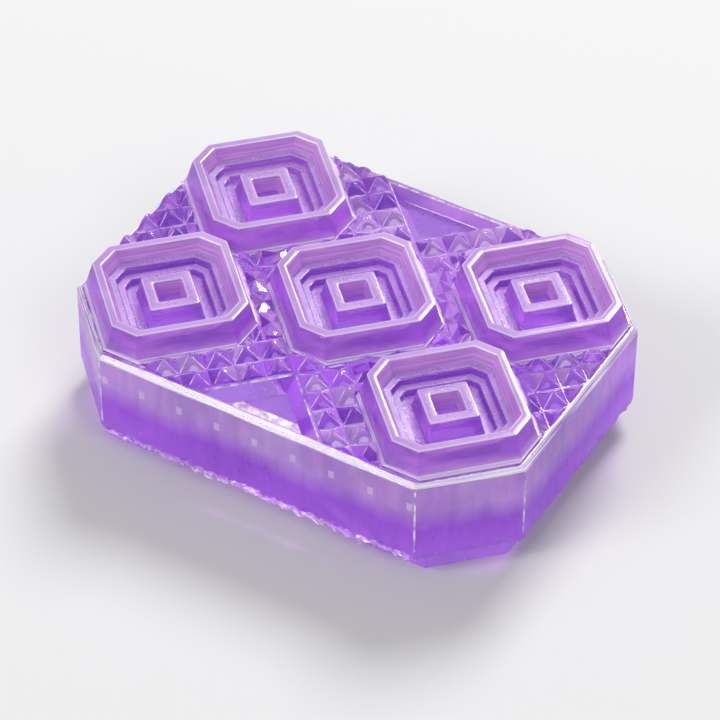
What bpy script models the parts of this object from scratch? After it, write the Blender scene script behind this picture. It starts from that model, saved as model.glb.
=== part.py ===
"""Silicone soap mould: a carrier block, five lift-out cavity inserts and five foot pads.

The origin is on the table under the middle of the block. +X runs along the block, +Z is up.
The cavities are square with cut corners and stand turned 45 degrees to the block, so their
outlines are drawn in cavity axes: u along (+X, +Y) and v along (-X, +Y). Metres throughout.
"""
import math

import bmesh
import bpy
from mathutils import Matrix, Vector

# Carrier block.
BLOCK_LENGTH = 0.1049
BLOCK_WIDTH = 0.0787
BLOCK_HEIGHT = 0.0207
EDGE_ROUND = 0.0011
EDGE_ROUND_STEPS = 3
END_MARGIN = 0.00155
SIDE_MARGIN = 0.00178
CORNER_MARGIN = 0.00127

# Spacing of the five cavities.
WEB_GAP = 0.00410
END_PAIR_GAP = 0.00104

# Cavity insert, from the flange on its foot inwards.
FLANGE_WIDTH = 0.00067
FLANGE_THICKNESS = 0.0006
FLANGE_CORNER_CUT = 0.0060
INSERT_HEIGHT = 0.00613
OUTER_DRAFT = 0.00143
OUTER_CORNER_CUT = 0.0050
RIM_CORNER_CUT = 0.0042
RIM_WIDTH = 0.00154
UPPER_WALL_DEPTH = 0.0031
UPPER_WALL_DRAFT = 0.0014
UPPER_LEDGE_WIDTH = 0.00126
LOWER_WALL_DEPTH = 0.0017
LOWER_WALL_DRAFT = 0.0003
LOWER_LEDGE_WIDTH = 0.0014
CHANNEL_DEPTH = 0.0016
CHANNEL_WALL_DRAFT = 0.0003
CHANNEL_WIDTH = 0.00186
INNER_CORNER_CUT = 0.0037
INNER_CORNER_STEP = 0.0005

# Core that stands in each cavity, with the pocket in its top.
CORE_BELOW_RIM = 0.0020
CORE_DRAFT = 0.0009
CORE_RIM_WIDTH = 0.0020
CORE_CORNER_CUT = 0.0003
POCKET_DEPTH = 0.0035
POCKET_DRAFT = 0.0007

# Seat of an insert in the block.
SEAT_DEPTH = 0.0035
SPIGOT_INSET = 0.0011
SPIGOT_CORNER_CUT = 0.0047
CLEARANCE = 0.0003

# Foot pad and its recess in the underside of the block.
FOOT_HEIGHT = 0.0048
FOOT_INSET = 0.0004
FOOT_CORNER_CUT = 0.0070
FOOT_SEAT = 0.0012
FOOT_EDGE_ROUND = 0.0005

# Triangular window recessed in the middle of each long side.
WINDOW_DEPTH = 0.0028
WINDOW_LIP = 0.0018
WINDOW_SIDE_GAP = 0.0007
WINDOW_SLOPE = 0.0024
WINDOW_BORDER = 0.0004

# Hobnails: the small pyramids on the rest of the block's top.
HOBNAIL_PITCH = 0.0056
HOBNAIL_HEIGHT = 0.0024
HOBNAIL_ROOT = 0.0002
HOBNAIL_BED = 0.0012
HOBNAIL_EDGE_GAP = 0.0003

ROOT_2 = math.sqrt(2.0)
CAVITY_TURN = math.radians(45.0)

# The flange outline is the largest that fits the block both across its width, where two
# cavities stand corner to corner, and along its length, where the middle one stands between.
REACH_ACROSS = (BLOCK_WIDTH / 2 - SIDE_MARGIN - END_PAIR_GAP / 2) / 2
FLANGE_HALF_ACROSS = (ROOT_2 * REACH_ACROSS + FLANGE_CORNER_CUT) / 2
HALF_SUM = (BLOCK_LENGTH + BLOCK_WIDTH) / 2 - END_MARGIN - SIDE_MARGIN
FLANGE_HALF_ALONG = (HALF_SUM + ROOT_2 * (FLANGE_CORNER_CUT - WEB_GAP)) / (4 * ROOT_2)
FLANGE_HALF = min(FLANGE_HALF_ACROSS, FLANGE_HALF_ALONG)
FLANGE_REACH = (2 * FLANGE_HALF - FLANGE_CORNER_CUT) / ROOT_2

CAVITY_X = BLOCK_LENGTH / 2 - END_MARGIN - FLANGE_REACH
CAVITY_Y = BLOCK_WIDTH / 2 - SIDE_MARGIN - FLANGE_REACH
CAVITY_PLACES = {
    "centre": (0.0, 0.0),
    "front": (CAVITY_X, -CAVITY_Y),
    "right": (CAVITY_X, CAVITY_Y),
    "rear": (-CAVITY_X, CAVITY_Y),
    "left": (-CAVITY_X, -CAVITY_Y),
}

OUTER_FOOT_HALF = FLANGE_HALF - FLANGE_WIDTH
RIM_HALF = OUTER_FOOT_HALF - OUTER_DRAFT
SPIGOT_HALF = OUTER_FOOT_HALF - SPIGOT_INSET
FOOT_HALF = FLANGE_HALF - FOOT_INSET

UNDERSIDE = FOOT_HEIGHT
DECK = UNDERSIDE + BLOCK_HEIGHT
RIM_TOP = DECK + INSERT_HEIGHT

MIDDLE_TO_CORNER_FACE = (CAVITY_X + CAVITY_Y) / ROOT_2 + FLANGE_HALF + CORNER_MARGIN


def clear_scene():
    for item in list(bpy.data.objects):
        bpy.data.objects.remove(item, do_unlink=True)


def silicone(name, colour, roughness):
    """Clear coloured silicone rubber."""
    material = bpy.data.materials.new(name)
    material.use_nodes = True
    shader = material.node_tree.nodes["Principled BSDF"]
    shader.inputs["Base Color"].default_value = (*colour, 1.0)
    shader.inputs["Roughness"].default_value = roughness
    shader.inputs["Metallic"].default_value = 0.0
    shader.inputs["IOR"].default_value = 1.41
    return material


def cut_square(half, corner_cut, height):
    """Corners of a square with cut corners, anticlockwise from the +u side."""
    near = half - corner_cut
    quarter = [Vector((half, -near, height)), Vector((half, near, height))]
    corners = []
    for turn in range(4):
        spin = Matrix.Rotation(turn * math.pi / 2, 4, "Z")
        corners.extend(spin @ corner for corner in quarter)
    return corners


def block_outline(inset, height):
    """Corners of the block: a rectangle whose cut corners face along u and v."""
    half_x = BLOCK_LENGTH / 2 - inset
    half_y = BLOCK_WIDTH / 2 - inset
    corner_sum = (MIDDLE_TO_CORNER_FACE - inset) * ROOT_2
    end_y = corner_sum - half_x
    side_x = corner_sum - half_y
    first = [(half_x, end_y), (side_x, half_y)]
    second = [(-x, y) for x, y in reversed(first)]
    corners = first + second + [(-x, -y) for x, y in first + second]
    return [Vector((x, y, height)) for x, y in corners]


def stack_mesh(bm, rings):
    """Add one closed body that passes through the rings, from its lowest face to its last."""
    loops = [[bm.verts.new(corner) for corner in ring] for ring in rings]
    faces = [bm.faces.new(loops[0])]
    for lower, upper in zip(loops, loops[1:]):
        for near in range(len(lower)):
            far = (near + 1) % len(lower)
            faces.append(bm.faces.new((lower[near], lower[far], upper[far], upper[near])))
    faces.append(bm.faces.new(loops[-1]))
    bmesh.ops.recalc_face_normals(bm, faces=faces)


def new_object(name, stacks, material):
    """Make one object from stacks of rings, each stack a closed body."""
    bm = bmesh.new()
    for rings in stacks:
        stack_mesh(bm, rings)
    mesh = bpy.data.meshes.new(name)
    bm.to_mesh(mesh)
    bm.free()
    mesh.materials.append(material)
    item = bpy.data.objects.new(name, mesh)
    bpy.context.scene.collection.objects.link(item)
    return item


def new_tool(name, stacks, material):
    """An object that shapes another and isn't itself a piece."""
    tool = new_object(name, stacks, material)
    tool.hide_render = True
    tool.display_type = "WIRE"
    return tool


def shape_with(item, tool, operation):
    modifier = item.modifiers.new(tool.name, "BOOLEAN")
    modifier.operation = operation
    modifier.object = tool
    modifier.solver = "EXACT"


def turned(rings, place):
    """Turn rings drawn in cavity axes to the block's axes and move them to a place."""
    move = Matrix.Translation((place[0], place[1], 0.0)) @ Matrix.Rotation(CAVITY_TURN, 4, "Z")
    return [[move @ corner for corner in ring] for ring in rings]


def at_cavities(rings):
    return [turned(rings, place) for place in CAVITY_PLACES.values()]


def seat_rings():
    half = SPIGOT_HALF + CLEARANCE
    floor = DECK - SEAT_DEPTH
    over = DECK + SEAT_DEPTH
    return [cut_square(half, SPIGOT_CORNER_CUT, height) for height in (floor, over)]


def foot_recess_rings():
    half = FOOT_HALF + CLEARANCE
    roof = UNDERSIDE + FOOT_SEAT + CLEARANCE
    return [cut_square(half, FOOT_CORNER_CUT, height) for height in (0.0, roof)]


def window_triangle(inset, height, side):
    """Triangle between three cavities, its long edge along the block's long side."""
    apex = (FLANGE_HALF + WINDOW_SIDE_GAP + inset) * ROOT_2
    base = BLOCK_WIDTH / 2 - WINDOW_LIP - inset
    corners = [(0.0, apex), (apex - base, base), (base - apex, base)]
    return [Vector((side * x, side * y, height)) for x, y in corners]


def window_stacks():
    stacks = []
    for side in (-1.0, 1.0):
        floor = window_triangle(WINDOW_SLOPE, DECK - WINDOW_DEPTH, side)
        mouth = window_triangle(0.0, DECK, side)
        over = window_triangle(0.0, DECK + WINDOW_DEPTH, side)
        stacks.append([floor, mouth, over])
    return stacks


def hobnail_field(bm):
    """Closed slab whose top is a square grid of pyramids in cavity axes."""
    valley = DECK - HOBNAIL_ROOT
    reach = math.ceil(MIDDLE_TO_CORNER_FACE / HOBNAIL_PITCH) + 1
    lines = range(-reach, reach + 1)
    corners = {}
    for row in lines:
        for column in lines:
            place = Vector((row * HOBNAIL_PITCH, column * HOBNAIL_PITCH, valley))
            corners[row, column] = bm.verts.new(place)
    for row in lines[:-1]:
        for column in lines[:-1]:
            base = [corners[row, column], corners[row + 1, column],
                    corners[row + 1, column + 1], corners[row, column + 1]]
            middle = (base[0].co + base[2].co) / 2
            tip = bm.verts.new(middle + Vector((0.0, 0.0, HOBNAIL_HEIGHT + HOBNAIL_ROOT)))
            for near in range(4):
                bm.faces.new((base[near], base[(near + 1) % 4], tip))
    rim = [edge for edge in bm.edges if edge.is_boundary]
    skirt = bmesh.ops.extrude_edge_only(bm, edges=rim)["geom"]
    lowered = [part for part in skirt if isinstance(part, bmesh.types.BMVert)]
    bmesh.ops.translate(bm, verts=lowered, vec=(0.0, 0.0, -HOBNAIL_BED))
    bmesh.ops.holes_fill(bm, edges=[edge for edge in bm.edges if edge.is_boundary])
    bmesh.ops.recalc_face_normals(bm, faces=bm.faces)
    bmesh.ops.rotate(bm, verts=bm.verts, matrix=Matrix.Rotation(CAVITY_TURN, 3, "Z"))


def hobnail_area_rings():
    """The block's top inside its rounded edge."""
    low = DECK - HOBNAIL_BED / 2
    high = DECK + 2 * HOBNAIL_HEIGHT
    return [block_outline(EDGE_ROUND + HOBNAIL_EDGE_GAP, height) for height in (low, high)]


def hobnail_flange_rings():
    """What the hobnails leave free round each insert's flange."""
    half = FLANGE_HALF + CLEARANCE
    low = DECK - HOBNAIL_BED
    high = DECK + 3 * HOBNAIL_HEIGHT
    return [cut_square(half, FLANGE_CORNER_CUT, height) for height in (low, high)]


def hobnail_window_stacks():
    """What the hobnails leave free at each long side: the window and the plain lip round it."""
    stacks = []
    for side in (-1.0, 1.0):
        low = window_triangle(-WINDOW_BORDER, DECK - HOBNAIL_BED, side)
        high = window_triangle(-WINDOW_BORDER, DECK + 3 * HOBNAIL_HEIGHT, side)
        stacks.append([low, high])
    return stacks


def make_hobnail_tool(material):
    bm = bmesh.new()
    hobnail_field(bm)
    mesh = bpy.data.meshes.new("hobnail_pyramids")
    bm.to_mesh(mesh)
    bm.free()
    field = bpy.data.objects.new("hobnail_pyramids", mesh)
    bpy.context.scene.collection.objects.link(field)
    field.hide_render = True
    field.display_type = "WIRE"
    area = new_tool("hobnail_area", [hobnail_area_rings()], material)
    flanges = new_tool("hobnail_flanges", at_cavities(hobnail_flange_rings()), material)
    windows = new_tool("hobnail_windows", hobnail_window_stacks(), material)
    shape_with(field, area, "INTERSECT")
    shape_with(field, flanges, "DIFFERENCE")
    shape_with(field, windows, "DIFFERENCE")
    return field


def rounded_block_rings():
    """The block's outline with its top and bottom edges rounded."""
    rings = []
    for step in range(EDGE_ROUND_STEPS + 1):
        angle = math.pi / 2 * step / EDGE_ROUND_STEPS
        inset = EDGE_ROUND * (1 - math.sin(angle))
        rings.append(block_outline(inset, UNDERSIDE + EDGE_ROUND * (1 - math.cos(angle))))
    for step in range(EDGE_ROUND_STEPS + 1):
        angle = math.pi / 2 * step / EDGE_ROUND_STEPS
        inset = EDGE_ROUND * (1 - math.cos(angle))
        rings.append(block_outline(inset, DECK - EDGE_ROUND * (1 - math.sin(angle))))
    return rings


def make_block(material):
    block = new_object("mould_block", [rounded_block_rings()], material)
    shape_with(block, make_hobnail_tool(material), "UNION")
    shape_with(block, new_tool("insert_seats", at_cavities(seat_rings()), material), "DIFFERENCE")
    shape_with(block, new_tool("foot_recesses", at_cavities(foot_recess_rings()), material),
               "DIFFERENCE")
    shape_with(block, new_tool("window_recesses", window_stacks(), material), "DIFFERENCE")
    return block


def insert_rings():
    """Profile of an insert, from its underside up over the rim and down to the pocket's floor.

    Each step is a half width, a corner cut and a height above the deck.
    """
    upper_ledge = INSERT_HEIGHT - UPPER_WALL_DEPTH
    lower_ledge = upper_ledge - LOWER_WALL_DEPTH
    channel_floor = lower_ledge - CHANNEL_DEPTH
    core_top = INSERT_HEIGHT - CORE_BELOW_RIM
    flange_under = CLEARANCE
    flange_top = CLEARANCE + FLANGE_THICKNESS

    opening = RIM_HALF - RIM_WIDTH
    upper_in = opening - UPPER_WALL_DRAFT
    step_out = upper_in - UPPER_LEDGE_WIDTH
    step_in = step_out - LOWER_WALL_DRAFT
    channel_out = step_in - LOWER_LEDGE_WIDTH
    channel_in = channel_out - CHANNEL_WALL_DRAFT
    core_foot = channel_in - CHANNEL_WIDTH
    core_half = core_foot - CORE_DRAFT
    pocket_half = core_half - CORE_RIM_WIDTH
    pocket_floor = max(pocket_half - POCKET_DRAFT, pocket_half / 2)

    inner_cuts = [INNER_CORNER_CUT - INNER_CORNER_STEP * step for step in range(6)]
    profile = [
        (SPIGOT_HALF, SPIGOT_CORNER_CUT, CLEARANCE - SEAT_DEPTH),
        (SPIGOT_HALF, SPIGOT_CORNER_CUT, flange_under),
        (FLANGE_HALF, FLANGE_CORNER_CUT, flange_under),
        (FLANGE_HALF, FLANGE_CORNER_CUT, flange_top),
        (OUTER_FOOT_HALF, OUTER_CORNER_CUT, flange_top),
        (RIM_HALF, RIM_CORNER_CUT, INSERT_HEIGHT),
        (opening, inner_cuts[0], INSERT_HEIGHT),
        (upper_in, inner_cuts[1], upper_ledge),
        (step_out, inner_cuts[2], upper_ledge),
        (step_in, inner_cuts[3], lower_ledge),
        (channel_out, inner_cuts[4], lower_ledge),
        (channel_in, inner_cuts[5], channel_floor),
        (core_foot, CORE_CORNER_CUT, channel_floor),
        (core_half, CORE_CORNER_CUT, core_top),
        (pocket_half, CORE_CORNER_CUT, core_top),
        (pocket_floor, CORE_CORNER_CUT, core_top - POCKET_DEPTH),
    ]
    return [cut_square(*step) for step in profile]


def make_insert(place_name, material):
    """An insert's origin is on its lift axis, at the height of the deck."""
    insert = new_object("cavity_insert_" + place_name, [insert_rings()], material)
    place_x, place_y = CAVITY_PLACES[place_name]
    insert.location = (place_x, place_y, DECK)
    insert.rotation_euler = (0.0, 0.0, CAVITY_TURN)
    return insert


def foot_rings():
    top = FOOT_HEIGHT + FOOT_SEAT
    rounded = cut_square(FOOT_HALF - FOOT_EDGE_ROUND, FOOT_CORNER_CUT, 0.0)
    side = [cut_square(FOOT_HALF, FOOT_CORNER_CUT, height) for height in (FOOT_EDGE_ROUND, top)]
    return [rounded] + side


def make_foot(place_name, material):
    foot = new_object("foot_pad_" + place_name, [foot_rings()], material)
    place_x, place_y = CAVITY_PLACES[place_name]
    foot.location = (place_x, place_y, 0.0)
    foot.rotation_euler = (0.0, 0.0, CAVITY_TURN)
    return foot


def build():
    clear_scene()
    block_silicone = silicone("block_silicone", (0.34, 0.13, 0.66), 0.12)
    insert_silicone = silicone("insert_silicone", (0.45, 0.24, 0.74), 0.18)
    foot_silicone = silicone("foot_silicone", (0.55, 0.42, 0.72), 0.3)
    make_block(block_silicone)
    for place_name in CAVITY_PLACES:
        make_insert(place_name, insert_silicone)
        make_foot(place_name, foot_silicone)


build()
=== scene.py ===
"""Looks of the silicone soap mould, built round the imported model.

The block, the five cavity inserts and the five foot pads are remade here with rounded edges,
faceted hobnails, ragged casting flash and clear violet silicone. Metres, Z up.
"""
import math

import bmesh
import bpy
from mathutils import Matrix, Vector, noise


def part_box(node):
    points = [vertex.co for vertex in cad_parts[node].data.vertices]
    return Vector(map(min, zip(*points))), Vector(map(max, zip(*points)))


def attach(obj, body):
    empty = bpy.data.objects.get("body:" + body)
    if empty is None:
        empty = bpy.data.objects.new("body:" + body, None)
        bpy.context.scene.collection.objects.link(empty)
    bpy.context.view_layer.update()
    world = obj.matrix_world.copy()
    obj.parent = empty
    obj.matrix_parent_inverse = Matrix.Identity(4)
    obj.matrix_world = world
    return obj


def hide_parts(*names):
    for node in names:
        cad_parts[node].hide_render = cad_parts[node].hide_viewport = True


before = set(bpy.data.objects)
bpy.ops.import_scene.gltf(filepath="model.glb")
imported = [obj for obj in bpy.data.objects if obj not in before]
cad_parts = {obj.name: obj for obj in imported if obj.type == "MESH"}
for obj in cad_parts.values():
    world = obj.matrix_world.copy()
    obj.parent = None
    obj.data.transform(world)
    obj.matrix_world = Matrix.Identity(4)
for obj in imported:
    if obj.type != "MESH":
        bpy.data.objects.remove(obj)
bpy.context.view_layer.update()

ROOT_2 = math.sqrt(2.0)
PLACES = ("centre", "front", "right", "rear", "left")

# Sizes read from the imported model, and two that its boxes don't give: the height of the
# hobnails and the gap between pieces.
BLOCK_LOW, BLOCK_HIGH = (Vector(corner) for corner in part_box("mould_block"))
INSERT_LOW, INSERT_HIGH = (Vector(corner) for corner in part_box("cavity_insert_centre"))
FOOT_HIGH = Vector(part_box("foot_pad_centre")[1])
HALF_LENGTH = BLOCK_HIGH.x
HALF_WIDTH = BLOCK_HIGH.y
UNDERSIDE = BLOCK_LOW.z
RIM_TOP = INSERT_HIGH.z
HOBNAIL_HEIGHT = 0.0024
FIT_GAP = 0.0003
DECK = BLOCK_HIGH.z - HOBNAIL_HEIGHT
INSERT_HEIGHT = RIM_TOP - DECK
SEAT_FLOOR = INSERT_LOW.z - FIT_GAP
FOOT_ROOF = FOOT_HIGH.z


def place_of(name):
    """Middle of a cavity in plan."""
    low, high = (Vector(corner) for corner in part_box("cavity_insert_" + name))
    return (low + high) / 2


CENTRES = {name: place_of(name) for name in PLACES}

# Outline of an insert, half widths and corner cuts.
FLANGE_CUT = 0.0060
FLANGE_HALF = (INSERT_HIGH.x * ROOT_2 + FLANGE_CUT) / 2
FLANGE_WIDTH = 0.00067
OUTER_FOOT_HALF = FLANGE_HALF - FLANGE_WIDTH
OUTER_CUT = 0.0050
RIM_HALF = OUTER_FOOT_HALF - 0.00143
RIM_CUT = 0.0042
SPIGOT_HALF = OUTER_FOOT_HALF - 0.0011
SPIGOT_CUT = 0.0047
FOOT_CUT = 0.0070
FOOT_HALF = (FOOT_HIGH.x * ROOT_2 + FOOT_CUT) / 2

# Clear pieces overlap by this, so that no film of air shows between them.
OVERLAP = 0.0001
SEAT_HALF = SPIGOT_HALF + OVERLAP

# Distance of the cut corners' faces from the middle.
CORNER_MARGIN = 0.00127
CORNER_FACE = (CENTRES["right"].x + CENTRES["right"].y) / ROOT_2 + FLANGE_HALF + CORNER_MARGIN

TURN = Matrix.Rotation(math.radians(45.0), 4, "Z")


# ---------------------------------------------------------------- outlines and meshes

def rounded_polygon(corners, radius, steps):
    """Corners as 2-D points, each replaced by an arc of the radius in that many steps."""
    points = []
    count = len(corners)
    for index in range(count):
        corner = Vector(corners[index])
        to_last = (Vector(corners[index - 1]) - corner).normalized()
        to_next = (Vector(corners[(index + 1) % count]) - corner).normalized()
        half_angle = to_last.angle(to_next) / 2
        reach = radius / math.tan(half_angle)
        start = corner + to_last * reach
        end = corner + to_next * reach
        for step in range(steps + 1):
            share = step / steps
            bow = (1 - share) ** 2, 2 * share * (1 - share), share ** 2
            points.append(start * bow[0] + corner * bow[1] + end * bow[2])
    return points


def cut_square(half, cut, height, radius=0.0004, steps=3):
    """Square with cut, rounded corners, in cavity axes."""
    near = half - cut
    corners = []
    for turn in range(4):
        cosine, sine = (1, 0, -1, 0)[turn], (0, 1, 0, -1)[turn]
        for x, y in ((half, -near), (half, near)):
            corners.append((x * cosine - y * sine, x * sine + y * cosine))
    radius = min(radius, cut * 0.45)
    return [Vector((*point, height)) for point in rounded_polygon(corners, radius, steps)]


def block_corners(inset):
    """Corners of the block's outline, drawn in evenly."""
    half_x = HALF_LENGTH - inset
    half_y = HALF_WIDTH - inset
    corner_sum = (CORNER_FACE - inset) * ROOT_2
    first = [(half_x, corner_sum - half_x), (corner_sum - half_y, half_y)]
    second = [(-x, y) for x, y in reversed(first)]
    return first + second + [(-x, -y) for x, y in first + second]


def add_stack(bm, rings, material_of, under=0, last=None):
    """One closed body through the rings.

    material_of gives each band's material number, under that of the first face and last that of
    the last face.
    """
    loops = [[bm.verts.new(corner) for corner in ring] for ring in rings]
    faces = [bm.faces.new(loops[0])]
    faces[0].material_index = under
    for band, (lower, upper) in enumerate(zip(loops, loops[1:])):
        for near in range(len(lower)):
            far = (near + 1) % len(lower)
            face = bm.faces.new((lower[near], lower[far], upper[far], upper[near]))
            face.material_index = material_of(band)
            faces.append(face)
    faces.append(bm.faces.new(loops[-1]))
    faces[-1].material_index = material_of(len(loops) - 2) if last is None else last
    bmesh.ops.recalc_face_normals(bm, faces=faces)


def mesh_object(name, bm, materials):
    """Object made from the mesh, which is used up."""
    mesh = bpy.data.meshes.new(name)
    bm.to_mesh(mesh)
    bm.free()
    for material in materials:
        mesh.materials.append(material)
    item = bpy.data.objects.new(name, mesh)
    bpy.context.scene.collection.objects.link(item)
    return item


def stacks_object(name, stacks, materials, looks=(0,), under=0):
    """One closed body for each stack. looks are the material numbers of its bands."""
    bm = bmesh.new()
    for rings in stacks:
        add_stack(bm, rings, lambda band: looks[min(band, len(looks) - 1)], under)
    return mesh_object(name, bm, materials)


def apply_boolean(item, tool, operation):
    """Cut or join with the tool, which is then removed."""
    modifier = item.modifiers.new("shape", "BOOLEAN")
    modifier.operation = operation
    modifier.object = tool
    modifier.solver = "EXACT"
    graph = bpy.context.evaluated_depsgraph_get()
    mesh = bpy.data.meshes.new_from_object(item.evaluated_get(graph))
    item.modifiers.clear()
    item.data = mesh
    bpy.data.objects.remove(tool)


def shade(item, angle):
    """Smooth shading, sharp where faces meet at more than the angle."""
    item.data.shade_smooth()
    item.data.set_sharp_from_angle(angle=math.radians(angle))


def turned(rings):
    """Rings drawn in cavity axes, turned to the block's axes."""
    return [[TURN @ corner for corner in ring] for ring in rings]


def at_cavity(rings, name):
    """Rings drawn in cavity axes, turned and moved to a cavity."""
    move = Vector((CENTRES[name].x, CENTRES[name].y, 0.0))
    return [[corner + move for corner in ring] for ring in turned(rings)]


# ---------------------------------------------------------------- materials

SILICONE_IOR = 1.41
COAT_IOR = 1.8
COAT_ROUGHNESS = 0.12
SHADOW_TINT = (0.94, 0.76, 1.0)
ABSORB = (0.66, 0.15, 0.87)
CLEAR = (0.985, 0.97, 1.0)
WHITE = (1.0, 1.0, 1.0, 1.0)
RIPPLE_DEPTH = 0.0002
SWAY = 0.004

# Row of pale marks on the long sides.
MARK_PITCH = 0.00885
MARK_WIDTH = 0.0013
MARK_HEIGHT = 0.0019
MARK_LEVEL = DECK - 0.0060
MARK_REACH = 0.0365
MARK_COLOUR = (1.0, 0.90, 1.0, 1.0)
MARK_HAZE = 0.58


def link(tree, source, target):
    tree.links.new(source, target)


def node(tree, kind, **values):
    """New node. Values are its settings, or its inputs with _ for each space."""
    made = tree.nodes.new(kind)
    for key, value in values.items():
        if hasattr(made, key):
            setattr(made, key, value)
        else:
            made.inputs[key.replace("_", " ")].default_value = value
    return made


def noise_node(tree, vector, scale, detail, roughness):
    made = node(tree, "ShaderNodeTexNoise", Scale=scale, Detail=detail, Roughness=roughness)
    link(tree, vector, made.inputs["Vector"])
    return made.outputs["Fac"]


def spread_node(tree, value, low, high, to_low=0.0, to_high=1.0):
    """The value, with low to high spread over to_low to to_high."""
    made = node(tree, "ShaderNodeMapRange", From_Min=low, From_Max=high, To_Min=to_low,
                To_Max=to_high)
    link(tree, value, made.inputs["Value"])
    return made.outputs["Result"]


def maths(tree, operation, *values):
    """Math node. Values are sockets to link or plain numbers."""
    made = node(tree, "ShaderNodeMath", operation=operation)
    for place, value in enumerate(values):
        if isinstance(value, float):
            made.inputs[place].default_value = value
        else:
            link(tree, value, made.inputs[place])
    return made.outputs["Value"]


def mixed(tree, share, first, second):
    """Mix of two shaders. share is a socket or a plain number."""
    made = node(tree, "ShaderNodeMixShader")
    if isinstance(share, float):
        made.inputs["Fac"].default_value = share
    else:
        link(tree, share, made.inputs["Fac"])
    link(tree, first, made.inputs[1])
    link(tree, second, made.inputs[2])
    return made


def object_space(tree):
    return node(tree, "ShaderNodeTexCoord").outputs["Object"]


def stretched(tree, scales, degrees=0.0):
    """Object coordinates, scaled along each axis and turned about Z."""
    made = node(tree, "ShaderNodeMapping")
    made.inputs["Rotation"].default_value = (0.0, 0.0, math.radians(degrees))
    made.inputs["Scale"].default_value = scales
    link(tree, object_space(tree), made.inputs["Vector"])
    return made.outputs["Vector"]


def axes_of(tree):
    split = node(tree, "ShaderNodeSeparateXYZ")
    link(tree, object_space(tree), split.inputs["Vector"])
    return split.outputs


def silicone(name, body, haze, roughness, ripple, density, surface=0.5):
    """Clear silicone: tinted glass that lets lamps through, with a hazy body colour mixed in.

    surface is the share of the haze that is scattered back, and the rest goes through.
    """
    material = bpy.data.materials.new(name)
    material.use_nodes = True
    tree = material.node_tree
    glass = tree.nodes["Principled BSDF"]
    output = tree.nodes["Material Output"]
    glass.inputs["Base Color"].default_value = (*CLEAR, 1.0)
    glass.inputs["IOR"].default_value = SILICONE_IOR
    glass.inputs["Transmission Weight"].default_value = 1.0
    # Patches of satin and of gloss.
    patches = noise_node(tree, object_space(tree), 220.0, 3.0, 0.6)
    satin = spread_node(tree, patches, 0.3, 0.7, roughness * 0.6, roughness * 1.5)
    link(tree, satin, glass.inputs["Roughness"])
    # Fine ripples left by the master that the mould was cast on.
    ripples = noise_node(tree, stretched(tree, (0.35, 1.0, 1.6), -45.0), 1500.0, 4.0, 0.55)
    bump = node(tree, "ShaderNodeBump", Strength=ripple, Distance=RIPPLE_DEPTH)
    link(tree, ripples, bump.inputs["Height"])
    link(tree, bump.outputs["Normal"], glass.inputs["Normal"])
    # Cloudy colour in the haze.
    ramp = node(tree, "ShaderNodeValToRGB")
    ramp.name = "body"
    ramp.color_ramp.elements[0].position = 0.3
    ramp.color_ramp.elements[0].color = (*[part * 0.8 for part in body], 1.0)
    ramp.color_ramp.elements[1].position = 0.7
    ramp.color_ramp.elements[1].color = (*[min(1.0, part * 1.15 + 0.03) for part in body], 1.0)
    link(tree, noise_node(tree, object_space(tree), 60.0, 3.0, 0.5), ramp.inputs["Fac"])
    through = node(tree, "ShaderNodeBsdfTranslucent")
    through.name = "through"
    back = node(tree, "ShaderNodeBsdfDiffuse")
    back.name = "back"
    recolour(tree, ramp.outputs["Color"])
    glow = mixed(tree, surface, through.outputs["BSDF"], back.outputs["BSDF"])
    hazy = mixed(tree, haze, glass.outputs["BSDF"], glow.outputs["Shader"])
    hazy.name = "haze"
    # Lamps shine through, tinted.
    lamp_light = node(tree, "ShaderNodeBsdfTransparent", Color=(*SHADOW_TINT, 1.0))
    path = node(tree, "ShaderNodeLightPath")
    lamps = mixed(tree, path.outputs["Is Shadow Ray"], hazy.outputs["Shader"],
                  lamp_light.outputs["BSDF"])
    link(tree, lamps.outputs["Shader"], output.inputs["Surface"])
    volume = node(tree, "ShaderNodeVolumeAbsorption", Color=(*ABSORB, 1.0), Density=density)
    link(tree, volume.outputs["Volume"], output.inputs["Volume"])
    return material


def glinting(material, strength):
    """Brighter highlights, as on a polished edge."""
    glass = material.node_tree.nodes["Principled BSDF"]
    glass.inputs["Coat Weight"].default_value = strength
    glass.inputs["Coat IOR"].default_value = COAT_IOR
    glass.inputs["Coat Roughness"].default_value = COAT_ROUGHNESS
    return material


def streaked(material, scales, low, high):
    """Haze that comes and goes in streaks, from low to high."""
    tree = material.node_tree
    streaks = noise_node(tree, stretched(tree, scales), 1.0, 2.0, 0.5)
    link(tree, spread_node(tree, streaks, 0.35, 0.65, low, high), tree.nodes["haze"].inputs["Fac"])
    return material


def pulse(tree, value, period, middle, half):
    """1 where the value, repeated with the period, is within half of the middle."""
    return maths(tree, "COMPARE", maths(tree, "PINGPONG", value, period / 2), middle, half)


def recolour(tree, socket):
    """Give the haze this colour."""
    for name in ("through", "back"):
        link(tree, socket, tree.nodes[name].inputs["Color"])


def painted_light_below(material, low_colour, level, blur):
    """Painted light: another colour below a wavy level, standing in for how light falls down a
    wall: painted shade on the block's sides, a painted reflection on the inserts' outer walls.
    """
    tree = material.node_tree
    waves = noise_node(tree, object_space(tree), 140.0, 2.0, 0.5)
    height = maths(tree, "MULTIPLY_ADD", waves, SWAY, axes_of(tree)["Z"])
    middle = level + SWAY / 2
    colour = node(tree, "ShaderNodeMixRGB", Color1=(*low_colour, 1.0))
    link(tree, spread_node(tree, height, middle - blur, middle + blur), colour.inputs["Fac"])
    link(tree, tree.nodes["body"].outputs["Color"], colour.inputs["Color2"])
    recolour(tree, colour.outputs["Color"])
    return material


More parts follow.
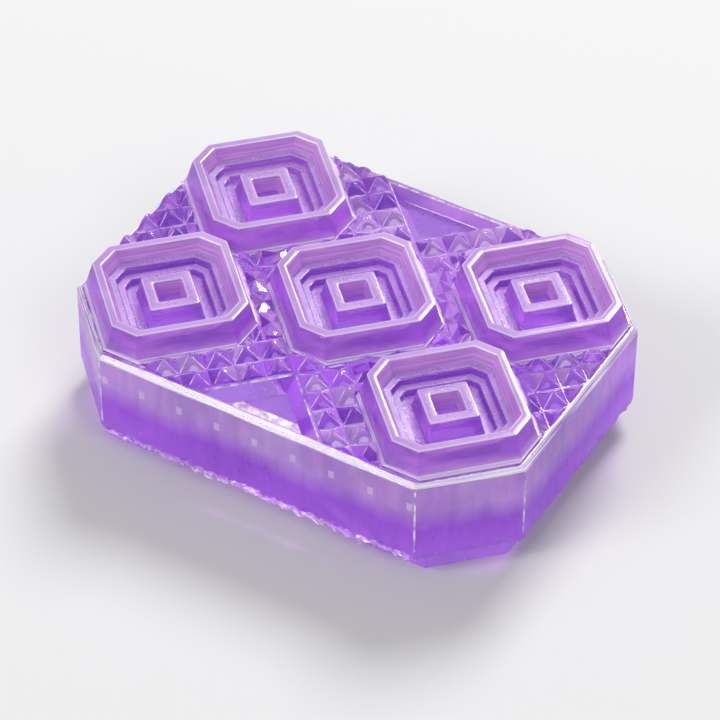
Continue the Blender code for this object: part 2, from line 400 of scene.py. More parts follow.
def marked(material):
    """A row of pale marks below the upper edge of the long sides."""
    tree = material.node_tree
    axes = axes_of(tree)
    each = pulse(tree, axes["X"], MARK_PITCH, 0.0, MARK_WIDTH / 2)
    row = pulse(tree, axes["X"], 1.0, 0.0, MARK_REACH)
    height = pulse(tree, axes["Z"], 1.0, MARK_LEVEL, MARK_HEIGHT / 2)
    inside = maths(tree, "MULTIPLY", maths(tree, "MULTIPLY", each, row), height)
    pale = node(tree, "ShaderNodeMixRGB", Color2=MARK_COLOUR)
    link(tree, inside, pale.inputs["Fac"])
    link(tree, tree.nodes["back"].inputs["Color"].links[0].from_socket, pale.inputs["Color1"])
    recolour(tree, pale.outputs["Color"])
    haze = tree.nodes["haze"].inputs["Fac"]
    mark_haze = maths(tree, "MULTIPLY", inside, MARK_HAZE)
    link(tree, maths(tree, "MAXIMUM", haze.links[0].from_socket, mark_haze), haze)
    return material


# Numbers of the looks in the lists below.
BODY, TORN, EDGE_HIGHLIGHT, BENEATH, SIDE_SHADE_BAND, LINE_HIGHLIGHT, DEEP_SHADE, PALE_HIGHLIGHT = range(8)
SKIN, STEEP, LEVEL, TOP, LIP_HIGHLIGHT, UPPER, LOW_REFLECTION = range(7)

BLOCK_LOOKS = [
    silicone("block_silicone", (0.68, 0.36, 0.93), 0.10, 0.015, 0.02, 38.0),
    glinting(silicone("torn_silicone", (0.56, 0.38, 0.70), 0.38, 0.20, 0.5, 38.0), 0.8),
    # Painted highlight: the chamfer round the top edge is a near-white haze, standing in for light
    # caught on the edge.
    streaked(glinting(silicone("block_edge_painted_highlight", (1.0, 0.90, 1.0), 0.7, 0.08, 0.12, 38.0,
                               0.95), 0.6), (60.0, 60.0, 4500.0), 0.05, 0.95),
    silicone("block_under_silicone", (0.50, 0.20, 0.84), 0.45, 0.25, 0.30, 38.0),
    # Painted shade: the long sides are pale near the top and darker below the wavy level, towards
    # the underside.
    marked(streaked(painted_light_below(silicone("block_side_painted_shade", (1.0, 0.65, 1.0), 0.4, 0.04, 0.05,
                                    38.0, 0.7), (0.52, 0.19, 0.90), DECK - 0.0100, 0.0026),
                    (420.0, 420.0, 90.0), 0.38, 0.48)),
    # Painted highlight: thin white lines along the hobnail ridges, the block's cut corners, the
    # window borders and the seat groove.
    streaked(glinting(silicone("fine_line_painted_highlight", (0.96, 0.84, 1.0), 0.6, 0.04, 0.05, 38.0,
                               0.9), 1.0), (500.0, 500.0, 500.0), 0.1, 1.0),
    # Painted shade: a dark copy of the silicone for the window floors and shaded facets.
    silicone("deep_painted_shade_silicone", (0.30, 0.08, 0.66), 0.50, 0.30, 0.05, 38.0),
    # Painted highlight: a pale, glinting copy of the silicone for lit facets.
    glinting(silicone("pale_facet_painted_highlight", (0.97, 0.64, 1.0), 0.26, 0.03, 0.05, 38.0, 0.7),
             0.6),
]
INSERT_LOOKS = [
    silicone("insert_silicone", (0.66, 0.32, 0.93), 0.18, 0.02, 0.03, 34.0, 0.6),
    streaked(silicone("insert_wall_silicone", (0.54, 0.23, 0.86), 0.38, 0.06, 0.08, 34.0, 0.6),
             (60.0, 60.0, 2500.0), 0.25, 0.50),
    streaked(silicone("insert_silicone_satin", (0.92, 0.65, 1.0), 0.36, 0.30, 0.40, 34.0, 0.7),
             (2200.0, 2200.0, 2200.0), 0.26, 0.54),
    silicone("insert_silicone_rim", (0.94, 0.65, 1.0), 0.40, 0.08, 0.12, 34.0, 0.8),
    # Painted highlight: a near-white coated haze on the flange steps and the rim and core edges.
    glinting(silicone("insert_lip_painted_highlight", (0.97, 0.82, 1.0), 0.55, 0.06, 0.05, 34.0, 0.9),
             1.0),
    streaked(silicone("insert_upper_silicone", (0.92, 0.48, 1.0), 0.45, 0.06, 0.10, 34.0, 0.75),
             (60.0, 60.0, 2500.0), 0.35, 0.65),
    # Painted reflection: the outer wall of each insert is paler low down, near the deck.
    streaked(painted_light_below(silicone("insert_outer_painted_reflection", (0.70, 0.32, 0.97), 0.3, 0.03, 0.05, 34.0,
                             0.7), (1.0, 0.74, 1.0), 0.0014, 0.0016),
             (90.0, 90.0, 400.0), 0.18, 0.48),
]
FOOT_LOOKS = [silicone("foot_silicone", (0.58, 0.32, 0.86), 0.50, 0.20, 0.25, 34.0)]


# ---------------------------------------------------------------- carrier block

EDGE_CHAMFER = 0.0010
EDGE_SOFTENING = 0.00018
OUTLINE_STEP = 0.0006
OUTLINE_RADIUS = 0.0005

# Torn flash: its depth, the strip and the shares of a side it takes up, how much of it the ends
# and the other edges have, and the scales of its lumps.
FLASH_DEPTH = 0.0019
TORN_STRIP = 0.004
TORN_FRONT_SPAN = 0.72
TORN_END_SPAN = 0.6
TORN_END_SHARE = 0.45
TORN_LEAST_SHARE = 0.08
COARSE_LUMPS, FINE_LUMPS, CRUMBS = 95.0, 620.0, 1400.0

# Crumbs of flash: their number, share of the front side, least and extra half sizes, and jitter.
FLAKES = 210
FLAKE_SPAN = 0.68
FLAKE_LEAST = (0.0007, 0.0003, 0.0003)
FLAKE_EXTRA = (0.0010, 0.0004, 0.0007)
FLAKE_JITTER = 0.0004


def fine_outline(inset, height):
    """The block's outline as many points, evenly spread along each side."""
    corners = rounded_polygon(block_corners(inset), OUTLINE_RADIUS, 3)
    full = rounded_polygon(block_corners(0.0), OUTLINE_RADIUS, 3)
    points = []
    count = len(corners)
    for index in range(count):
        here, there = corners[index], corners[(index + 1) % count]
        run = (full[(index + 1) % count] - full[index]).length
        pieces = max(1, round(run / OUTLINE_STEP))
        for step in range(pieces):
            points.append(Vector((*here.lerp(there, step / pieces), height)))
    return points


def ragged(point, amount, low_band):
    """Uneven lower edge: strongest along the front long side, fainter along the ends."""
    front = point.y < -HALF_WIDTH + TORN_STRIP and abs(point.x) < HALF_LENGTH * TORN_FRONT_SPAN
    end = abs(point.x) > HALF_LENGTH - TORN_STRIP and abs(point.y) < HALF_WIDTH * TORN_END_SPAN
    level = (1.0 if front else TORN_END_SHARE if end else TORN_LEAST_SHARE) * amount
    coarse = noise.noise(point * COARSE_LUMPS)
    fine = noise.noise(point * FINE_LUMPS + Vector((3.1, 0.7, 5.3)))
    crumbs = noise.noise(point * CRUMBS + Vector((7.7, 2.2, 1.3)))
    lump = max(0.0, coarse + 0.20) * 1.4 * (0.6 + fine + 0.7 * crumbs)
    outward = Vector((point.x / HALF_LENGTH, point.y / HALF_WIDTH, 0.0)).normalized()
    drop = Vector((0.0, 0.0, -1.0)) * lump * level * (0.9 if low_band else 0.3)
    return point + outward * (fine * 0.4 + crumbs * 0.3 - 0.2) * level + drop


def block_rings():
    """Outlines of the block from the torn lower edge to the deck."""
    soft = EDGE_SOFTENING
    chamfer = EDGE_CHAMFER
    profile = [
        (chamfer, 0.0, 1.0, True),
        (chamfer * 0.55, 0.0001, 1.0, True),
        (soft, chamfer * 0.5, 1.0, True),
        (0.0, chamfer, 0.8, False),
        (0.0, chamfer * 1.8, 0.45, False),
        (0.0, chamfer * 2.8, 0.1, False),
    ]
    rings = []
    for inset, rise, amount, low_band in profile:
        ring = fine_outline(inset, UNDERSIDE + rise)
        rings.append([ragged(point, FLASH_DEPTH * amount, low_band) for point in ring])
    for inset, drop in ((0.0, chamfer + soft), (soft * 0.3, chamfer - soft * 0.3),
                        (chamfer - soft * 0.3, soft * 0.3), (chamfer + soft, 0.0),
                        (chamfer + soft * 2, 0.0)):
        rings.append(fine_outline(inset, DECK - drop))
    return rings


def add_flakes(block):
    """Torn crumbs of flash along the lower edge of the front long side."""
    bm = bmesh.new()
    bm.from_mesh(block.data)
    for index in range(FLAKES):
        share = (index + 0.5) / FLAKES
        seed = Vector((index * 1.37, 4.1, 0.5))
        scatter = [noise.noise(seed + Vector((0.0, 5.3 * part, 0.0))) for part in range(6)]
        amount = 0.5 + 0.5 * noise.noise(Vector((share * 9.0, 0.3, 8.2)))
        middle = Vector((HALF_LENGTH * FLAKE_SPAN * (2 * share - 1) + scatter[0] * 0.001,
                         -HALF_WIDTH + 0.0004 + scatter[1] * 0.0006,
                         UNDERSIDE + 0.0004 + scatter[2] * 0.0015))
        size = Vector([least + extra * abs(part) for least, extra, part
                       in zip(FLAKE_LEAST, FLAKE_EXTRA, scatter[3:])]) * (0.5 + amount)
        points = []
        for axis in range(3):
            for way in (-1.0, 1.0):
                point = middle.copy()
                point[axis] += way * size[axis]
                jitter = Vector(scatter[axis:axis + 3]) * FLAKE_JITTER
                points.append(bm.verts.new(point + jitter * way))
        for x, y, z in ((0, 2, 4), (0, 2, 5), (0, 3, 4), (0, 3, 5),
                        (1, 2, 4), (1, 2, 5), (1, 3, 4), (1, 3, 5)):
            corner = (points[x], points[y], points[z])
            turn_over = (x + (y - 2) + (z - 4)) % 2 == 0
            face = bm.faces.new(corner[::-1] if turn_over else corner)
            face.material_index = TORN
    bm.to_mesh(block.data)
    bm.free()


PITCH = 0.0056
FACET_STEPS = 4
FACET_BOW = 0.20
RIDGE_WIDTH = 0.00011
TIP_SHIFT = 0.0008
PALE_TONE = 0.16
DEEP_TONE = -0.30
MERGE_DISTANCE = 0.00001


def hobnail_field():
    """Closed slab with the hobnails on top, in block axes."""
    bm = bmesh.new()
    reach = math.ceil(CORNER_FACE / PITCH) + 1
    bed = DECK - 0.0012
    valley = DECK - 0.0001
    for row in range(-reach, reach):
        for column in range(-reach, reach):
            build_hobnail(bm, row * PITCH, column * PITCH, valley)
    bmesh.ops.remove_doubles(bm, verts=bm.verts, dist=MERGE_DISTANCE)
    rim = [edge for edge in bm.edges if edge.is_boundary]
    skirt = bmesh.ops.extrude_edge_only(bm, edges=rim)["geom"]
    for part in skirt:
        if isinstance(part, bmesh.types.BMVert):
            part.co.z = bed
    bmesh.ops.holes_fill(bm, edges=[edge for edge in bm.edges if edge.is_boundary])
    bmesh.ops.recalc_face_normals(bm, faces=bm.faces)
    bmesh.ops.rotate(bm, verts=bm.verts, matrix=Matrix.Rotation(math.radians(45.0), 3, "Z"))
    return mesh_object("hobnails", bm, BLOCK_LOOKS)


def build_hobnail(bm, left, near, valley):
    """One pyramid: four facets, each a fan of strips from the tip, so ridges stay straight."""
    middle = Vector((left + PITCH / 2, near + PITCH / 2, 0.0))
    wobble = noise.noise(middle * 170.0)
    tip_shift = Vector((noise.noise(middle * 330.0), noise.noise(middle * 410.0), 0.0)) * TIP_SHIFT
    tip_height = HOBNAIL_HEIGHT * (0.88 + 0.24 * wobble)
    half = PITCH / 2
    corners = [(-half, -half), (half, -half), (half, half), (-half, half)]
    for side in range(4):
        first = Vector((*corners[side], 0.0))
        second = Vector((*corners[(side + 1) % 4], 0.0))
        rows = []
        for step in range(FACET_STEPS + 1):
            rise = step / FACET_STEPS
            row = []
            spans = max(1, FACET_STEPS - step)
            edge = RIDGE_WIDTH / (PITCH * (1 - rise)) if step < FACET_STEPS else 0.3
            places = [part / spans for part in range(spans + 1)]
            places = [0.0] + [edge + place * (1 - 2 * edge) for place in places] + [1.0]
            for along in places:
                flat = first.lerp(second, along) * (1 - rise)
                bow = (math.sin(math.pi * rise) * math.sin(math.pi * along) * FACET_BOW
                       * HOBNAIL_HEIGHT)
                point = middle + flat + tip_shift * rise
                point.z = valley + tip_height * rise + bow
                row.append(point)
            if step == FACET_STEPS:
                row = [row[0]]
            rows.append([bm.verts.new(point) for point in row])
        # Lit and shaded copies of the silicone: each facet gets the painted highlight, the painted
        # shade or the plain body, at random.
        tone = noise.noise(middle * 700.0 + Vector((0.0, 0.0, 2.7 * side)))
        look = PALE_HIGHLIGHT if tone > PALE_TONE else DEEP_SHADE if tone < DEEP_TONE else BODY
        for lower, upper in zip(rows, rows[1:]):
            fill_row(bm, lower, upper, look)


def fill_row(bm, lower, upper, look):
    """Faces between two rows of a facet. Those along its two ridges are fine painted highlight
    lines.
    """
    last = len(lower) - 1
    if len(upper) == 1:
        for index in range(last):
            face = bm.faces.new((lower[index], lower[index + 1], upper[0]))
            face.material_index = LINE_HIGHLIGHT if index in (0, last - 1) else look
        return
    for near, far in ((0, 1), (-2, -1)):
        face = bm.faces.new((lower[near], lower[far], upper[far], upper[near]))
        face.material_index = LINE_HIGHLIGHT
    inner_low = lower[1:-1]
    inner_high = upper[1:-1]
    for index in range(len(inner_low) - 1):
        tip = inner_high[min(index, len(inner_high) - 1)]
        face = bm.faces.new((inner_low[index], inner_low[index + 1], tip))
        face.material_index = look
    for index in range(len(inner_high) - 1):
        face = bm.faces.new((inner_low[index + 1], inner_high[index + 1], inner_high[index]))
        face.material_index = look


# Web strips lie between the middle flange and a corner flange. u and v are the cavity axes.
# Each web has its direction, 0 along u or 1 along v, and the side of the middle it lies on.
WEBS = {(0, -1): "front", (0, 1): "rear", (1, 1): "right", (1, -1): "left"}
WEB_PERIOD = 0.0073
WEB_HIGH = 0.0013
WEB_LOW = 0.00025
WEB_GAP = 0.0002
WEB_END = 0.0012
WEB_BED = DECK - 0.0009


def web_span(direction, side, end_gap, side_gap):
    """Start, end, near side and far side of a web, with gaps to the flanges."""
    corner = CENTRES[WEBS[direction, side]]
    shift_u = (corner.x + corner.y) / ROOT_2
    shift_v = (corner.y - corner.x) / ROOT_2
    along, across = (shift_u, abs(shift_v)) if direction == 0 else (shift_v, abs(shift_u))
    start = max(-FLANGE_HALF, along - FLANGE_HALF) + end_gap
    end = min(FLANGE_HALF, along + FLANGE_HALF) - end_gap
    return start, end, FLANGE_HALF + side_gap, across - FLANGE_HALF - side_gap


def web_point(direction, side, along, across, height):
    """Point of a web in block axes."""
    u, v = (along, across * side) if direction == 0 else (across * side, along)
    return Vector(((u - v) / ROOT_2, (u + v) / ROOT_2, height))


def web_strip(direction, side):
    """Zigzag of facets that fills a web."""
    bm = bmesh.new()
    start, end, near, far = web_span(direction, side, WEB_END, WEB_GAP)
    count = max(2, round((end - start) / (WEB_PERIOD / 2)))
    top = []
    base = []
    for step in range(count + 1):
        along = start + (end - start) * step / count
        high, low = (WEB_HIGH, WEB_LOW) if step % 2 else (WEB_LOW, WEB_HIGH)
        peak = (high + low) / 2 + (0.0006 if high > low else -0.0001)
        ridge = ((near, DECK + high), ((near + far) / 2, DECK + peak), (far, DECK + low))
        top.append([web_point(direction, side, along, *point) for point in ridge])
        base.append([web_point(direction, side, along, across, WEB_BED) for across in (near, far)])
    top = [[bm.verts.new(point) for point in row] for row in top]
    base = [[bm.verts.new(point) for point in row] for row in base]
    for index in range(count):
        here, there = top[index], top[index + 1]
        if index % 2:
            facets = [(here[0], there[0], here[1]), (there[0], there[1], here[1]),
                      (here[1], there[1], there[2]), (here[1], there[2], here[2])]
        else:
            facets = [(here[0], there[0], there[1]), (here[0], there[1], here[1]),
                      (here[1], there[1], here[2]), (there[1], there[2], here[2])]
        # The zigzag's facets take the painted highlight and the painted shade in turn.
        for part, facet in enumerate(facets):
            bm.faces.new(facet).material_index = (PALE_HIGHLIGHT, BODY, DEEP_SHADE, BODY)[(index * 3 + part) % 4]
        bm.faces.new((here[0], there[0], base[index + 1][0], base[index][0]))
        bm.faces.new((here[2], there[2], base[index + 1][1], base[index][1]))
        bm.faces.new((base[index][0], base[index + 1][0], base[index + 1][1], base[index][1]))
    for index in (0, count):
        bm.faces.new((*top[index], base[index][1], base[index][0]))
    bmesh.ops.recalc_face_normals(bm, faces=bm.faces)
    return mesh_object("web", bm, BLOCK_LOOKS)


def web_clearance(direction, side):
    """Room for a web strip in the hobnail field."""
    start, end, near, far = web_span(direction, side, 0.0010, -0.0005)
    return [[web_point(direction, side, along, across, height)
             for along, across in ((start, near), (end, near), (end, far), (start, far))]
            for height in (ROOM_FLOOR, FIELD_TOP)]


WINDOW_DEPTH = 0.0028
WINDOW_GAP = 0.0007
WINDOW_LIP = 0.0018
WINDOW_EDGE = DECK - 0.00035
WINDOW_TOP = DECK + 0.003
WINDOW_SLOPE = 0.0022
FRONT_FLOOR_INSET = 0.0042
REAR_FLOOR_INSET = 0.0010


def window_ring(leg_inset, base_inset, height, side):
    """Triangle of a window. Its base lies along the long side, and side is +1 or -1."""
    apex = (FLANGE_HALF + WINDOW_GAP + leg_inset) * ROOT_2
    base = HALF_WIDTH - WINDOW_LIP - base_inset
    corners = [(0.0, apex), (apex - base, base), (base - apex, base)]
    points = rounded_polygon(corners, 0.0002, 2)
    return [Vector((side * x, side * y, height)) for x, y in points]


def flange_ring(offset, height):
    """The flange's outline, grown evenly all round."""
    return cut_square(FLANGE_HALF + offset, FLANGE_CUT + offset * (2 - ROOT_2), height)


# Look of each band of the block's outside, from the underside up. The side bands carry a painted
# shade low down, and the chamfer bands a painted highlight.
BAND_LOOKS = [TORN] * 3 + [SIDE_SHADE_BAND] * 3 + [EDGE_HIGHLIGHT] * 3 + [BODY]

# Upright faces that point between a side and a cut corner, within these degrees, are fine painted
# highlight lines.
LINE_TURNS = (5.0, 40.0)

# Heights of the tools that cut the hobnail field, and steps of the seats below the deck.
FIELD_FLOOR = DECK - 0.0008
FIELD_TOP = DECK + 0.006
ROOM_FLOOR = DECK - 0.002
ROOM_TOP = DECK + 0.007
SEAT_STEP = DECK - 0.00050
SEAT_GROOVE = DECK - 0.00022


def cut_out(item, name, stacks, looks=(0,), under=0):
    """Cut the stacks out of the item."""
    apply_boolean(item, stacks_object(name, stacks, BLOCK_LOOKS, looks, under), "DIFFERENCE")


def trimmed_field():
    """Hobnails with room for the edge, the flanges, the webs and the windows."""
    hobnails = hobnail_field()
    area = [[Vector((*corner, height)) for corner in block_corners(EDGE_CHAMFER + 0.0005)]
            for height in (FIELD_FLOOR, FIELD_TOP)]
    apply_boolean(hobnails, stacks_object("area", [area], BLOCK_LOOKS), "INTERSECT")
    flange_room = [flange_ring(FIT_GAP, height) for height in (ROOM_FLOOR, ROOM_TOP)]
    cut_out(hobnails, "rooms", [at_cavity(flange_room, name) for name in PLACES])
    for direction, side in WEBS:
        cut_out(hobnails, "room", [web_clearance(direction, side)])
    for side in (-1.0, 1.0):
        cut_out(hobnails, "room", [[window_ring(-WINDOW_GAP, -WINDOW_GAP, height, side)
                                    for height in (ROOM_FLOOR, ROOM_TOP)]])
    return hobnails


def make_block():
    bm = bmesh.new()
    add_stack(bm, block_rings(), lambda band: BAND_LOOKS[band], BENEATH)
    for face in bm.faces:
        turn = math.degrees(math.atan2(face.normal.y, face.normal.x)) % 45.0
        heights = [corner.co.z for corner in face.verts]
        if max(heights) - min(heights) > EDGE_CHAMFER * 4 and LINE_TURNS[0] < turn < LINE_TURNS[1]:
            face.material_index = LINE_HIGHLIGHT
    block = mesh_object("carrier_block", bm, BLOCK_LOOKS)
    apply_boolean(block, trimmed_field(), "UNION")
    for direction, side in WEBS:
        apply_boolean(block, web_strip(direction, side), "UNION")
    for side, floor_inset in ((-1.0, FRONT_FLOOR_INSET), (1.0, REAR_FLOOR_INSET)):
        border = [window_ring(-0.0003, -0.0003, WINDOW_EDGE, side),
                  window_ring(-0.0005, -0.0005, WINDOW_TOP, side)]
        recess = [window_ring(WINDOW_SLOPE, floor_inset, DECK - WINDOW_DEPTH - 0.0001, side),
                  window_ring(WINDOW_SLOPE, 0.0009, DECK - WINDOW_DEPTH, side),
                  window_ring(0.0, 0.0, WINDOW_EDGE, side),
                  window_ring(-0.00005, -0.00005, WINDOW_TOP, side)]
        # The recess floor is painted shade, and the border and recess walls are painted highlight
        # lines.
        cut_out(block, "border", [border], (LINE_HIGHLIGHT,), LINE_HIGHLIGHT)
        cut_out(block, "recess", [recess], (LINE_HIGHLIGHT, BODY, LINE_HIGHLIGHT), DEEP_SHADE)
    seat = [cut_square(SEAT_HALF, SPIGOT_CUT, SEAT_FLOOR),
            cut_square(SEAT_HALF, SPIGOT_CUT, SEAT_STEP),
            flange_ring(0.00010, SEAT_STEP),
            flange_ring(0.00010, SEAT_GROOVE),
            flange_ring(0.00038, SEAT_GROOVE),
            flange_ring(0.00042, DECK + 0.004)]
    # The seat's groove is a painted highlight line.
    cut_out(block, "seats", [at_cavity(seat, name) for name in PLACES],
            (BODY, BODY, BODY, LINE_HIGHLIGHT, BODY))
    foot_room = [cut_square(FOOT_HALF + OVERLAP, FOOT_CUT, height)
                 for height in (UNDERSIDE - 0.004, FOOT_ROOF + OVERLAP)]
    cut_out(block, "feet", [at_cavity(foot_room, name) for name in PLACES])
    add_flakes(block)
    shade(block, 28)
    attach(block, "carrier")
    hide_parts("mould_block")
    return block


# ---------------------------------------------------------------- cavity inserts

def soften(profile, radius):
    """Replace each inner point of a profile of (half, cut, height) by a small arc."""
    points = [profile[0]]
    for last, here, following in zip(profile, profile[1:], profile[2:]):
        here_v = Vector(here)
        back = Vector(last) - here_v
        ahead = Vector(following) - here_v
        reach = min(radius, back.length * 0.4, ahead.length * 0.4)
        start = here_v + back.normalized() * reach
        end = here_v + ahead.normalized() * reach
        middle = start * 0.25 + here_v * 0.5 + end * 0.25
        points.extend([tuple(start), tuple(middle), tuple(end)])
    points.append(profile[-1])
    return points


# Widths and depths of an insert's steps, from the rim inwards.
RIM_THICKNESS = 0.00154
WELL_SLOPE = 0.0014
UPPER_LEDGE = 0.00126
LOWER_LEDGE = 0.0014
STEP_SLOPE = 0.0003
CHANNEL_WIDTH = 0.00186
CORE_SLOPE = 0.0009
CORE_WALL = 0.0020
UPPER_DROP = 0.0031
LOWER_DROP = 0.0017
CHANNEL_DROP = 0.0016
CORE_DROP = 0.0020
POCKET_DEPTH = 0.0035
POCKET_SLOPE = 0.0007
CORE_CUT = 0.0003
FLANGE_TOP = 0.0009
FLANGE_SHOULDER = 0.0004
FLANGE_UNDERSIDE = -0.0007


def insert_profile():
    """Outside and inside of an insert as (half, cut, height over the deck)."""
    height = INSERT_HEIGHT
    opening = RIM_HALF - RIM_THICKNESS
    upper_in = opening - WELL_SLOPE
    step_out = upper_in - UPPER_LEDGE
    step_in = step_out - STEP_SLOPE
    channel_out = step_in - LOWER_LEDGE
    channel_in = channel_out - STEP_SLOPE
    core_foot = channel_in - CHANNEL_WIDTH
    core_half = core_foot - CORE_SLOPE
    pocket = core_half - CORE_WALL
    upper_ledge = height - UPPER_DROP
    lower_ledge = upper_ledge - LOWER_DROP
    channel = lower_ledge - CHANNEL_DROP
    core_top = height - CORE_DROP
    return [
        (SPIGOT_HALF + OVERLAP * 2, SPIGOT_CUT, SEAT_FLOOR - DECK - OVERLAP),
        (SPIGOT_HALF + OVERLAP * 2, SPIGOT_CUT, FLANGE_UNDERSIDE),
        (FLANGE_HALF, FLANGE_CUT, FLANGE_UNDERSIDE),
        (FLANGE_HALF, FLANGE_CUT, FLANGE_SHOULDER),
        (FLANGE_HALF - 0.00032, FLANGE_CUT - 0.0003, FLANGE_SHOULDER + 0.00005),
        (FLANGE_HALF - 0.00036, FLANGE_CUT - 0.0003, FLANGE_TOP),
        (OUTER_FOOT_HALF, OUTER_CUT, FLANGE_TOP + 0.00005),
        (RIM_HALF, RIM_CUT, height),
        (opening, 0.0037, height),
        (upper_in, 0.0032, upper_ledge),
        (step_out, 0.0027, upper_ledge),
        (step_in, 0.0022, lower_ledge),
        (channel_out, 0.0017, lower_ledge),
        (channel_in, 0.0012, channel),
        (core_foot, CORE_CUT, channel),
        (core_half, CORE_CUT, core_top),
        (pocket, CORE_CUT, core_top),
        (pocket - POCKET_SLOPE, CORE_CUT, core_top - POCKET_DEPTH),
    ]


# Look of each stretch of the insert's profile, from the spigot up and down into the well, and of
# the rounded corners that differ from it. The flange steps and the rounded rim and core edges are
# a painted highlight.
STRETCH_LOOKS = [SKIN, SKIN, SKIN, LIP_HIGHLIGHT, LIP_HIGHLIGHT, LIP_HIGHLIGHT, LOW_REFLECTION, TOP, UPPER, LEVEL, STEEP, LEVEL, STEEP,
                 LEVEL, STEEP, LEVEL, UPPER]
CORNER_LOOKS = {7: LIP_HIGHLIGHT, 8: LIP_HIGHLIGHT, 15: LIP_HIGHLIGHT, 16: LIP_HIGHLIGHT}
INSERT_ROUNDING = 0.00022
FOOT_ROUNDING = 0.0003


def make_insert(name):
    soft = soften(insert_profile(), INSERT_ROUNDING)
    rings = turned([cut_square(half, cut, height) for half, cut, height in soft])
    looks = []
    for place, look in enumerate(STRETCH_LOOKS):
        looks.extend([look] if place == 0 else [CORNER_LOOKS.get(place, look)] * 2 + [look])
    bm = bmesh.new()
    add_stack(bm, rings, lambda band: looks[band], last=STEEP)
    insert = mesh_object("insert_" + name, bm, INSERT_LOOKS)
    insert.location = (CENTRES[name].x, CENTRES[name].y, DECK)
    shade(insert, 24)
    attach(insert, "insert_" + name)
    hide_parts("cavity_insert_" + name)
    return insert


# ---------------------------------------------------------------- foot pads

def make_foot(name):
    profile = [
        (FOOT_HALF - 0.0009, FOOT_CUT, 0.0),
        (FOOT_HALF - 0.0001, FOOT_CUT, 0.0007),
        (FOOT_HALF + 0.0002, FOOT_CUT, FOOT_ROOF + 0.0002),
    ]
    soft = soften(profile, FOOT_ROUNDING)
    rings = turned([cut_square(half, cut, height) for half, cut, height in soft])
    bm = bmesh.new()
    add_stack(bm, rings, lambda band: 0)
    foot = mesh_object("foot_" + name, bm, FOOT_LOOKS)
    foot.location = (CENTRES[name].x, CENTRES[name].y, 0.0)
    shade(foot, 28)
    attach(foot, "carrier")
    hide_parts("foot_pad_" + name)
    return foot


# ---------------------------------------------------------------- stage, light and camera

def through_mould(tree, share):
    """share for rays that have passed through a clear surface, 0 for the others."""
    path = node(tree, "ShaderNodeLightPath")
    passed = maths(tree, "GREATER_THAN", path.outputs["Transmission Depth"], 0.5)
    return maths(tree, "MULTIPLY", passed, share)


AIR_UNDER_FEET = 0.00008
FLOOR_COLOUR = (0.60, 0.60, 0.605, 1.0)
FLOOR_SHARE = 0.85
FLOOR_GLOW = 1.2
SKY_LEVEL = 0.40

# Softboxes: name, place, width and watts.
SOFTBOXES = (("back_softbox", (-0.20, 1.30, 1.30), 0.76, 33.5),
             ("front_softbox", (-0.80, -1.20, 1.20), 0.80, 15.0),
             ("right_softbox", (1.16, -0.60, 1.35), 0.80, 6.5))


def make_stage():
    """Pale floor with a painted glow where it is seen through the mould, standing in for the light
    that the mould gathers onto it, as on a lit sweep.
    """
    material = bpy.data.materials.new("pale_floor")
    material.use_nodes = True
    shader = material.node_tree.nodes["Principled BSDF"]
    shader.inputs["Base Color"].default_value = FLOOR_COLOUR
    shader.inputs["Roughness"].default_value = 0.8
    shader.inputs["Specular IOR Level"].default_value = 0.1
    tree = material.node_tree
    # Painted glow: for rays that came through the mould, the floor is mostly white emission.
    bright = node(tree, "ShaderNodeEmission", Color=WHITE, Strength=FLOOR_GLOW)
    mix = mixed(tree, through_mould(tree, FLOOR_SHARE), shader.outputs["BSDF"],
                bright.outputs["Emission"])
    link(tree, mix.outputs["Shader"], tree.nodes["Material Output"].inputs["Surface"])
    bm = bmesh.new()
    bmesh.ops.create_grid(bm, x_segments=1, y_segments=1, size=6.0)
    floor = mesh_object("studio_floor", bm, [material])
    floor.location.z = -AIR_UNDER_FEET


def add_softbox(name, place, size, power):
    """Round lamp aimed at the mould, seen neither by the camera nor through the mould."""
    lamp = bpy.data.lights.new(name, "AREA")
    lamp.shape = "DISK"
    lamp.energy = power
    lamp.size = size
    item = bpy.data.objects.new(name, lamp)
    item.location = place
    aim = Vector((0.0, 0.0, DECK)) - Vector(place)
    item.rotation_euler = aim.to_track_quat("-Z", "Y").to_euler()
    item.visible_camera = False
    item.visible_transmission = False
    bpy.context.scene.collection.objects.link(item)


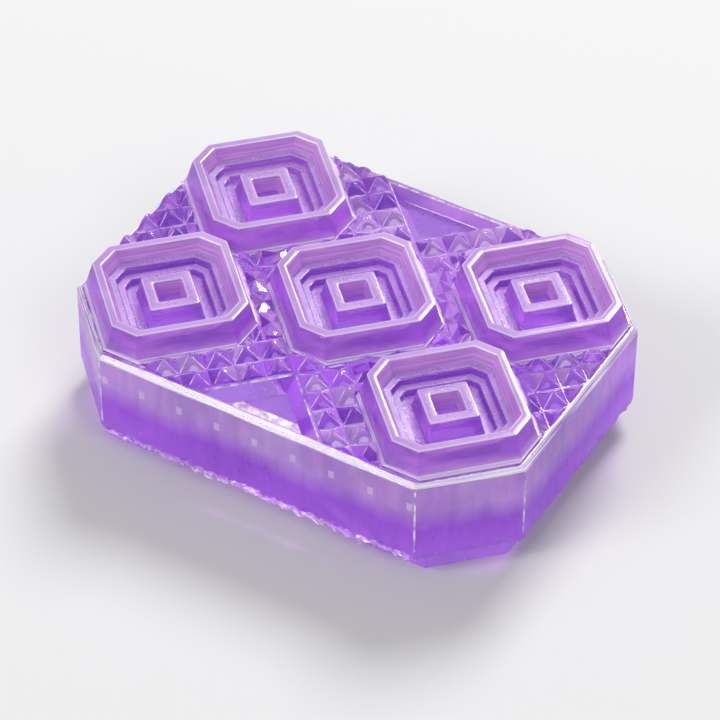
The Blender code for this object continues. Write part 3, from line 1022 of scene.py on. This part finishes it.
def make_light():
    world = bpy.data.worlds.new("studio")
    world.use_nodes = True
    tree = world.node_tree
    sky = tree.nodes["Background"]
    sky.inputs["Color"].default_value = WHITE
    # Through the mould the room is bright overhead and darker near the horizon.
    coordinates = node(tree, "ShaderNodeTexCoord")
    split = node(tree, "ShaderNodeSeparateXYZ")
    link(tree, coordinates.outputs["Generated"], split.inputs["Vector"])
    overhead = spread_node(tree, split.outputs["Z"], 0.05, 0.75, -0.25, 1.7)
    extra = maths(tree, "MULTIPLY", overhead, through_mould(tree, 1.0))
    link(tree, maths(tree, "ADD", extra, SKY_LEVEL), sky.inputs["Strength"])
    bpy.context.scene.world = world
    for softbox in SOFTBOXES:
        add_softbox(*softbox)


CAMERA_AZIMUTH = math.radians(30.37)
CAMERA_ELEVATION = math.radians(42.628)
CAMERA_ROLL = math.radians(0.3)
CAMERA_DISTANCE = 0.7634
CAMERA_ASIDE = 0.00085
CAMERA_UPWARD = -0.0155
SENSOR_WIDTH = 36.0
FOCAL_LENGTH = 188.8


def make_camera():
    """Camera looking down on the mould from the front and right."""
    azimuth, elevation, roll = CAMERA_AZIMUTH, CAMERA_ELEVATION, CAMERA_ROLL
    toward = Vector((math.sin(azimuth) * math.cos(elevation),
                     -math.cos(azimuth) * math.cos(elevation), math.sin(elevation)))
    right = Vector((math.cos(azimuth), math.sin(azimuth), 0.0))
    up = right.cross(-toward)
    right_rolled = right * math.cos(roll) + up * math.sin(roll)
    up_rolled = up * math.cos(roll) - right * math.sin(roll)
    data = bpy.data.cameras.new("camera")
    data.sensor_width = SENSOR_WIDTH
    data.lens = FOCAL_LENGTH
    camera = bpy.data.objects.new("camera", data)
    spin = Matrix((right_rolled, up_rolled, toward)).transposed().to_4x4()
    place = (Vector((0.0, 0.0, RIM_TOP)) + toward * CAMERA_DISTANCE
             + right_rolled * CAMERA_ASIDE + up_rolled * CAMERA_UPWARD)
    camera.matrix_world = Matrix.Translation(place) @ spin
    bpy.context.scene.collection.objects.link(camera)
    bpy.context.scene.camera = camera


def set_rendering():
    scene = bpy.context.scene
    scene.cycles.max_bounces = 24
    scene.cycles.transmission_bounces = 24
    scene.cycles.glossy_bounces = 10
    scene.cycles.diffuse_bounces = 5
    scene.cycles.transparent_max_bounces = 24
    scene.view_settings.view_transform = "Standard"


make_block()
for place_name in PLACES:
    make_insert(place_name)
    make_foot(place_name)
make_stage()
make_light()
make_camera()
set_rendering()
